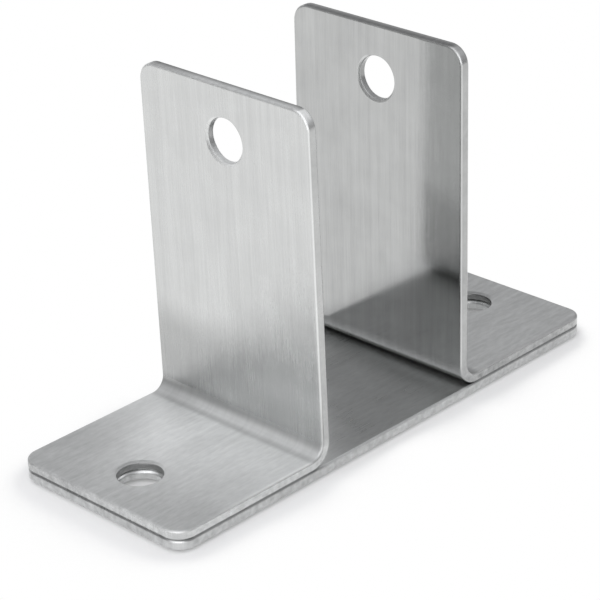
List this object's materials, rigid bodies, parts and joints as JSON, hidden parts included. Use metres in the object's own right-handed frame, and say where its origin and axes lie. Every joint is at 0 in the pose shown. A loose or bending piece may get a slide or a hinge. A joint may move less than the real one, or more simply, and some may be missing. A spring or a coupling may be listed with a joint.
{
  "type": "wall bracket",
  "caption": "Double-ear wall bracket in folded stainless sheet: a base strip screws to the wall, and the edge of a panel is bolted between the upright ears.",
  "frame": {"origin": "middle of the base strip's underside, the face that lies against the wall", "axes": "+X along the base strip from the left angle to the right one, +Y across it, +Z away from the wall along the ears"},
  "size_m": [0.1016, 0.0382, 0.0639],
  "materials": {
    "stainless_sheet": "satin, brushed along the length of each sheet"
  },
  "bodies": {
    "root": {"base_plate": "stainless_sheet", "left_angle": "stainless_sheet", "right_angle": "stainless_sheet"}
  },
  "joints": []
}
